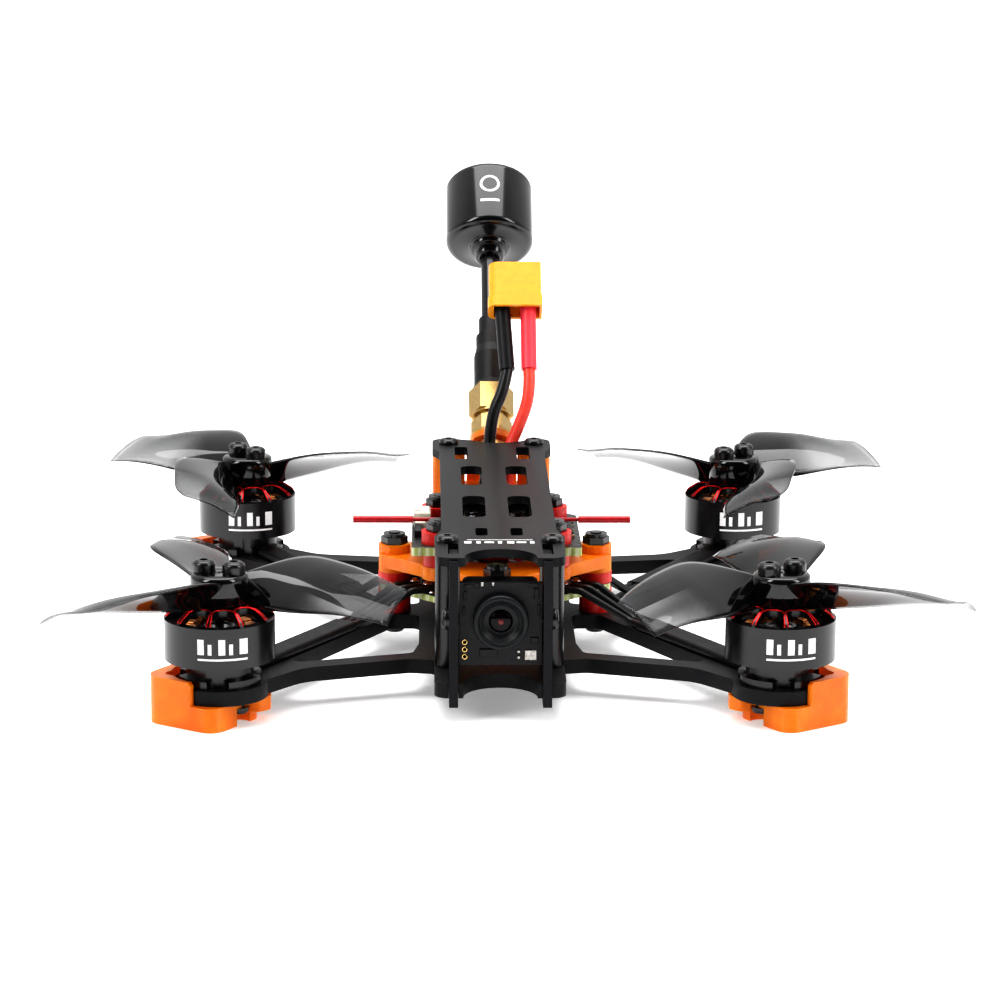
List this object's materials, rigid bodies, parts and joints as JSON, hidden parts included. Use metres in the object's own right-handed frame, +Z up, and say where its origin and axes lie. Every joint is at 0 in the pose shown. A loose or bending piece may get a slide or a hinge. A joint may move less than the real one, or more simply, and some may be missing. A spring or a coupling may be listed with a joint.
{
  "type": "fpv racing drone",
  "caption": "Small racing quadcopter: carbon decks, bumper feet, open brushless motors with three-blade propellers, tilting camera, rear antenna and battery lead.",
  "frame": {"origin": "on the ground plane under the feet, at the middle of the outline seen from above, propellers and antenna included", "axes": "+Z up, shortest overall size; -Y towards the camera nose; +X to the right side of the aircraft seen from the front"},
  "size_m": [0.1532, 0.1689, 0.0761],
  "materials": {
    "carbon": "satin",
    "black_anodised": "satin",
    "black_steel": "satin",
    "orange_tpu": "satin",
    "bright_steel": "satin",
    "stator_steel": "satin",
    "copper": "polished",
    "black_silicone": "matte",
    "black_sleeve": "matte",
    "red_silicone": "satin",
    "circuit_board": "satin",
    "chip_black": "satin",
    "red_tube": "glossy",
    "camera_plastic": "satin",
    "lens_glass": "polished",
    "brass": "polished",
    "gloss_black": "glossy",
    "red_wire": "satin",
    "red_sleeve": "satin",
    "yellow_nylon": "satin",
    "magnet": "polished",
    "smoke_polycarbonate": "glossy"
  },
  "bodies": {
    "airframe": {"aio_board": "circuit_board", "aio_components": "chip_black", "antenna_cap": "gloss_black", "antenna_mount": "orange_tpu", "antenna_sleeve": "black_sleeve", "antenna_stem": "gloss_black", "bottom_plate": "carbon", "camera_plates": "carbon", "camera_screws": "black_steel", "coax_pigtail": "black_sleeve", "feet": "orange_tpu", "lead_black": "black_silicone", "lead_red": "red_wire", "lock_nuts": "black_steel", "motor_bases": "black_anodised", "motor_bearings": "bright_steel", "motor_screws": "black_steel", "motor_stators": "stator_steel", "motor_windings": "copper", "motor_wires": "black_silicone", "plate_screws": "black_steel", "receiver_antenna": "red_tube", "receiver_board": "circuit_board", "shrink_black": "black_sleeve", "shrink_red": "red_sleeve", "sma_jack": "brass", "stack_grommets": "red_silicone", "stack_screws": "black_steel", "standoffs": "black_anodised", "top_plate": "carbon", "tpu_adapter": "orange_tpu", "usb_port": "bright_steel", "vtx_board": "circuit_board", "vtx_components": "chip_black", "vtx_grommets": "red_silicone", "wire_sleeves": "black_sleeve", "xt30_body": "yellow_nylon", "xt30_contacts": "brass"},
    "rotor_fl": {"bell_fl": "black_anodised", "magnets_fl": "magnet", "propeller_fl": "smoke_polycarbonate", "prop_screws_fl": "black_steel"},
    "rotor_fr": {"bell_fr": "black_anodised", "magnets_fr": "magnet", "propeller_fr": "smoke_polycarbonate", "prop_screws_fr": "black_steel"},
    "rotor_rl": {"bell_rl": "black_anodised", "magnets_rl": "magnet", "propeller_rl": "smoke_polycarbonate", "prop_screws_rl": "black_steel"},
    "rotor_rr": {"bell_rr": "black_anodised", "magnets_rr": "magnet", "propeller_rr": "smoke_polycarbonate", "prop_screws_rr": "black_steel"},
    "camera": {"camera_board": "chip_black", "camera_housing": "camera_plastic", "lens_barrel": "camera_plastic", "lens_glass": "lens_glass"},
    "antenna_nut": {"coupling_nut": "brass"}
  },
  "joints": [
    {"name": "rotor_fl_spin", "type": "hinge", "parent": "airframe", "child": "rotor_fl", "pos_m": [-0.04822, -0.06102, 0.0156], "axis": [0, 0, 1], "continuous": true},
    {"name": "rotor_fr_spin", "type": "hinge", "parent": "airframe", "child": "rotor_fr", "pos_m": [0.04498, -0.06102, 0.0156], "axis": [0, 0, 1], "continuous": true},
    {"name": "rotor_rl_spin", "type": "hinge", "parent": "airframe", "child": "rotor_rl", "pos_m": [-0.04822, 0.03218, 0.0156], "axis": [0, 0, 1], "continuous": true},
    {"name": "rotor_rr_spin", "type": "hinge", "parent": "airframe", "child": "rotor_rr", "pos_m": [0.04498, 0.03218, 0.0156], "axis": [0, 0, 1], "continuous": true},
    {"name": "camera_tilt", "type": "hinge", "parent": "airframe", "child": "camera", "pos_m": [-0.00162, -0.05882, 0.0164], "axis": [-1, 0, 0], "range_deg": [-10, 45]},
    {"name": "antenna_nut_turn", "type": "hinge", "parent": "airframe", "child": "antenna_nut", "pos_m": [-0.00137, 0.04116, 0.03166], "axis": [0, 0.6947, 0.7193], "continuous": true}
  ]
}
